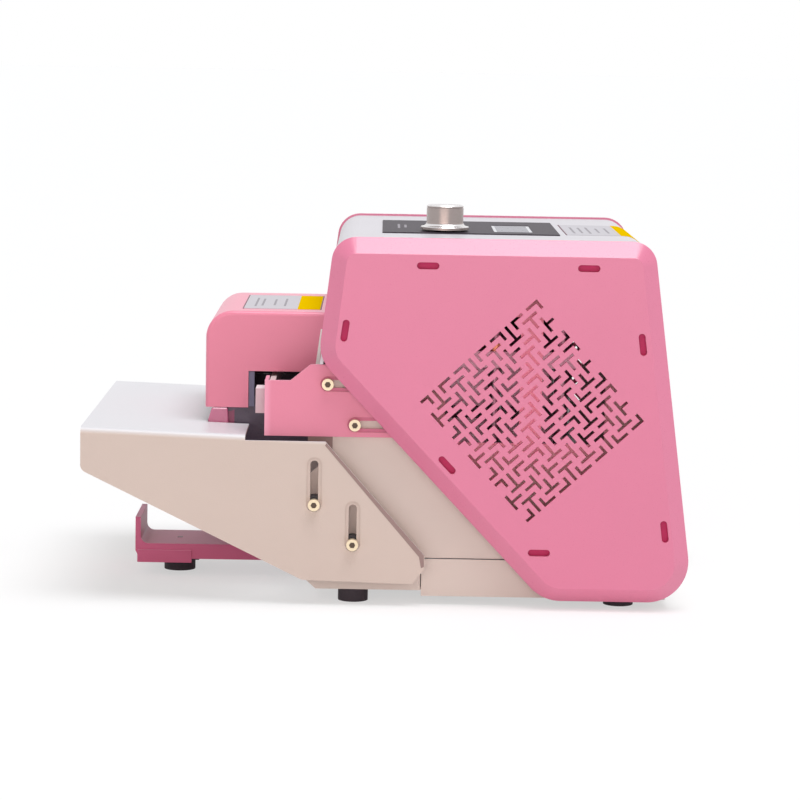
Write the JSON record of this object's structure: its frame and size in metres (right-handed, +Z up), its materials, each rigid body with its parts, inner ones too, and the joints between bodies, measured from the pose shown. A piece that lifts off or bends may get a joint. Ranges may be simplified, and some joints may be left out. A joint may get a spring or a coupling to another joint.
{
  "type": "die cutting machine",
  "caption": "Desktop card die cutting machine with an adjustable feed table, feed head, vented side covers, a control knob and a pull-out card tray.",
  "frame": {"origin": "middle of the footprint on the floor under the rubber feet", "axes": "+X from the feed table to the rear, +Y to the machine's left side, +Z up"},
  "size_m": [0.4417, 0.3, 0.2873],
  "materials": {
    "pink_cover": "satin moulded plastic",
    "pink_sheet": "semi-gloss powder coat",
    "silver_sheet": "fine textured silver coat",
    "white_sheet": "warm white powder coat",
    "dark_film": "printed film, matt",
    "display": "smoked window",
    "black_plastic": "moulded black plastic",
    "turned_aluminium": "fine turned",
    "steel": "ground steel",
    "zinc_sheet": "zinc plated sheet",
    "brass": "machined brass",
    "black_rubber": "matt rubber",
    "pink_rubber": "glossy urethane",
    "board_green": "solder mask"
  },
  "bodies": {
    "frame": {"base_pan": "white_sheet", "bridge_plate": "turned_aluminium", "card_chute": "zinc_sheet", "control_board": "board_green", "control_overlay": "dark_film", "cover_standoffs": "zinc_sheet", "die_plate": "steel", "die_shoe": "steel", "encoder_body": "black_plastic", "feed_belt": "black_rubber", "feed_head_cover": "pink_sheet", "feed_motor": "black_plastic", "feed_motor_mount": "zinc_sheet", "front_cross_plate": "zinc_sheet", "guide_posts": "steel", "lcd_module": "display", "left_base_strip": "white_sheet", "left_feed_arm": "zinc_sheet", "left_side_cover": "pink_cover", "left_side_plate": "white_sheet", "power_inlet": "black_plastic", "power_supply": "zinc_sheet", "press_belt": "black_rubber", "press_motor": "black_plastic", "right_base_strip": "white_sheet", "right_feed_arm": "zinc_sheet", "right_side_cover": "pink_cover", "right_side_plate": "white_sheet", "roller_bushes": "brass", "rubber_feet": "black_rubber", "socket_screws": "brass", "switch_body": "black_plastic", "table_spacers": "black_plastic", "tray_guides": "black_plastic", "wrap_panel": "silver_sheet"},
    "table": {"feed_table": "white_sheet"},
    "gate": {"right_feed_bracket": "pink_sheet", "left_feed_bracket": "pink_sheet", "gate_bar": "turned_aluminium"},
    "encoder_push": {"encoder_shaft": "steel"},
    "knob": {"control_knob": "turned_aluminium"},
    "pickup": {"pickup_roller": "black_rubber"},
    "drive": {"drive_roller": "black_rubber"},
    "retard": {"retard_roller": "pink_rubber"},
    "idle": {"idle_roller": "black_rubber"},
    "platen": {"press_platen": "steel", "punch": "steel", "platen_sleeves": "brass", "screw_nuts": "brass"},
    "right_screw": {"right_lead_screw": "steel"},
    "left_screw": {"left_lead_screw": "steel"},
    "press_drive": {"motor_pulley": "steel"},
    "tray": {"output_tray": "pink_sheet", "tray_foot": "black_rubber"},
    "rocker": {"power_rocker": "black_plastic"}
  },
  "joints": [
    {"name": "table_height", "type": "slide", "parent": "frame", "child": "table", "axis": [0, 0, 1], "range_m": [-0.014, 0]},
    {"name": "gate_slide", "type": "slide", "parent": "frame", "child": "gate", "axis": [1, 0, 0], "range_m": [-0.012, 0]},
    {"name": "knob_push", "type": "slide", "parent": "frame", "child": "encoder_push", "axis": [0, 0, 1], "range_m": [-0.0005, 0], "stiffness_N_per_m": 2000},
    {"name": "knob_turn", "type": "hinge", "parent": "encoder_push", "child": "knob", "pos_m": [0.041, -0.048, 0.275], "axis": [0, 0, 1], "continuous": true},
    {"name": "pickup_turn", "type": "hinge", "parent": "frame", "child": "pickup", "pos_m": [-0.117, 0, 0.1395], "axis": [0, 1, 0], "continuous": true},
    {"name": "drive_turn", "type": "hinge", "parent": "frame", "child": "drive", "pos_m": [-0.003, 0, 0.1395], "axis": [0, 1, 0], "continuous": true},
    {"name": "retard_turn", "type": "hinge", "parent": "frame", "child": "retard", "pos_m": [-0.117, 0, 0.1175], "axis": [0, 1, 0], "continuous": true},
    {"name": "idle_turn", "type": "hinge", "parent": "frame", "child": "idle", "pos_m": [-0.003, 0, 0.1175], "axis": [0, 1, 0], "continuous": true},
    {"name": "press_stroke", "type": "slide", "parent": "frame", "child": "platen", "axis": [0, 0, 1], "range_m": [-0.012, 0]},
    {"name": "right_screw_turn", "type": "hinge", "parent": "frame", "child": "right_screw", "pos_m": [0.08, -0.072, 0.2], "axis": [0, 0, 1], "continuous": true},
    {"name": "left_screw_turn", "type": "hinge", "parent": "frame", "child": "left_screw", "pos_m": [0.08, 0.072, 0.2], "axis": [0, 0, 1], "continuous": true},
    {"name": "press_drive_turn", "type": "hinge", "parent": "frame", "child": "press_drive", "pos_m": [0.167, 0, 0.235], "axis": [0, 0, 1], "continuous": true},
    {"name": "tray_slide", "type": "slide", "parent": "frame", "child": "tray", "axis": [1, 0, 0], "range_m": [-0.06, 0]},
    {"name": "rocker_tilt", "type": "hinge", "parent": "frame", "child": "rocker", "pos_m": [0.206, 0.024, 0.042], "axis": [0, 1, 0], "range_deg": [-8, 8]}
  ],
  "couplings": [
    {"joint": "drive_turn", "follows": "pickup_turn", "ratio": 1},
    {"joint": "retard_turn", "follows": "pickup_turn", "ratio": -1.3333},
    {"joint": "idle_turn", "follows": "pickup_turn", "ratio": -1.3333},
    {"joint": "right_screw_turn", "follows": "press_stroke", "rad_per_m": -1570.8},
    {"joint": "left_screw_turn", "follows": "press_stroke", "rad_per_m": -1570.8},
    {"joint": "press_drive_turn", "follows": "press_stroke", "rad_per_m": -1570.8}
  ]
}
